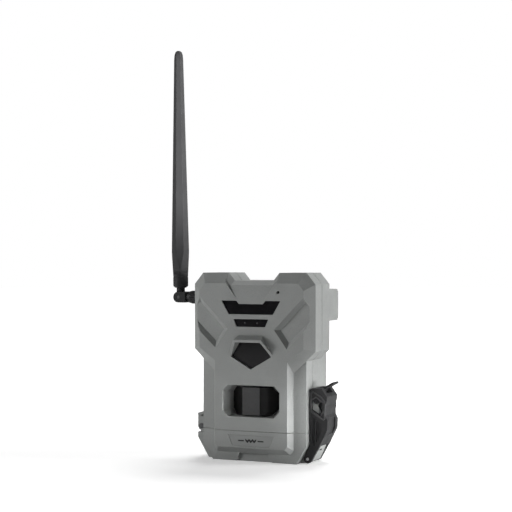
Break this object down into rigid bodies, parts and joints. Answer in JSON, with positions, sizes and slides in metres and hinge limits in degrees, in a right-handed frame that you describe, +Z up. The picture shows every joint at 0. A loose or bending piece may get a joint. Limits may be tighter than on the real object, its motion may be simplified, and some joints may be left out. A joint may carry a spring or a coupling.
{
  "type": "trail camera",
  "caption": "Grey trail camera with faceted two-shell case, hinged battery door, side latch, folding whip antenna and rear strap bracket.",
  "frame": {"origin": "centre of the bottom face, on the joint plane of the two shells", "axes": "+Z up; the camera looks along -Y; +X is the latch side, -X the hinge and antenna side"},
  "size_m": [0.1236, 0.079, 0.292],
  "materials": {
    "case_plastic": "fine moulded texture, warm mid grey",
    "latch_plastic": "glass-filled black, slight sheen",
    "antenna_plastic": "black, slightly rubbery",
    "window_plastic": "dark infrared-passing acrylic",
    "pir_plastic": "smoky ribbed film",
    "optical_glass": "coated",
    "barrel_black": "blackened",
    "steel": "plain",
    "brass": "plain",
    "rubber": "soft black",
    "circuit_board": "green solder mask",
    "chip_black": "moulded",
    "shield_metal": "tinned",
    "cell_sleeve": "printed sleeve without marks",
    "tray_plastic": "black moulded",
    "lamp_clear": "tinted epoxy",
    "badge_plastic": "smooth inlay"
  },
  "bodies": {
    "root": {"front_housing": "case_plastic", "rear_housing": "case_plastic", "shell_gasket": "rubber", "led_window": "window_plastic", "status_window": "window_plastic", "lens_window": "window_plastic", "lens_barrel": "barrel_black", "lens_glass": "optical_glass", "lens_holder": "barrel_black", "filter_solenoid": "shield_metal", "image_sensor": "chip_black", "pir_lens": "pir_plastic", "pir_sensor": "shield_metal", "main_board": "circuit_board", "board_chips": "chip_black", "modem_module": "shield_metal", "board_screws": "steel", "led_board": "circuit_board", "ir_leds": "lamp_clear", "status_light_pipes": "lamp_clear", "microphone": "shield_metal", "battery_tray": "tray_plastic", "battery_cells": "cell_sleeve", "contact_springs": "steel", "contact_plates": "steel", "control_board": "circuit_board", "power_switch": "shield_metal", "button_spring": "steel", "card_socket": "shield_metal", "power_socket": "brass", "tree_bracket": "tray_plastic", "tripod_insert": "brass", "bracket_screws": "steel", "case_screws": "steel", "hinge_pin": "steel", "antenna_jack": "brass", "antenna_lead": "rubber"},
    "door": {"door_shell": "case_plastic", "door_seal": "rubber", "badge_plate": "badge_plastic", "latch_pin": "steel"},
    "latch": {"latch_arm": "latch_plastic", "tab_pin": "steel"},
    "latch_tab": {"latch_tab": "latch_plastic"},
    "antenna_base": {"antenna_nut": "antenna_plastic", "antenna_elbow": "antenna_plastic", "elbow_pin": "steel"},
    "antenna_whip": {"antenna_blade": "antenna_plastic", "antenna_radiator": "brass"},
    "power_button": {"power_button": "rubber"},
    "memory_card": {"memory_card": "chip_black"},
    "ir_filter": {"ir_cut_filter": "optical_glass"}
  },
  "joints": [
    {"name": "door_swing", "type": "hinge", "parent": "root", "child": "door", "pos_m": [-0.0434, 0.004, 0.0224], "axis": [0, 1, 0], "range_deg": [0, 100]},
    {"name": "latch_swing", "type": "hinge", "parent": "door", "child": "latch", "pos_m": [0.0387, 0.002, 0.0036], "axis": [0, 1, 0], "range_deg": [0, 130]},
    {"name": "latch_tab_tilt", "type": "hinge", "parent": "latch", "child": "latch_tab", "pos_m": [0.0466, 0.002, 0.0509], "axis": [0, 1, 0], "range_deg": [0, 15], "stiffness_Nm_per_rad": 0.02},
    {"name": "antenna_swivel", "type": "hinge", "parent": "root", "child": "antenna_base", "pos_m": [-0.0535, -0.0055, 0.1143], "axis": [1, 0, 0], "continuous": true},
    {"name": "antenna_fold", "type": "hinge", "parent": "antenna_base", "child": "antenna_whip", "pos_m": [-0.0608, -0.0055, 0.1143], "axis": [0, -1, 0], "range_deg": [0, 90]},
    {"name": "power_button_press", "type": "slide", "parent": "root", "child": "power_button", "axis": [0, 0, 1], "range_m": [0, 0.0012], "stiffness_N_per_m": 400},
    {"name": "memory_card_slide", "type": "slide", "parent": "root", "child": "memory_card", "axis": [0, 0, -1], "range_m": [0, 0.009]},
    {"name": "ir_filter_shift", "type": "slide", "parent": "root", "child": "ir_filter", "axis": [1, 0, 0], "range_m": [0, 0.0065]}
  ],
  "couplings": [
    {"joint": "latch_swing", "follows": "door_swing", "ratio": 1.3}
  ]
}
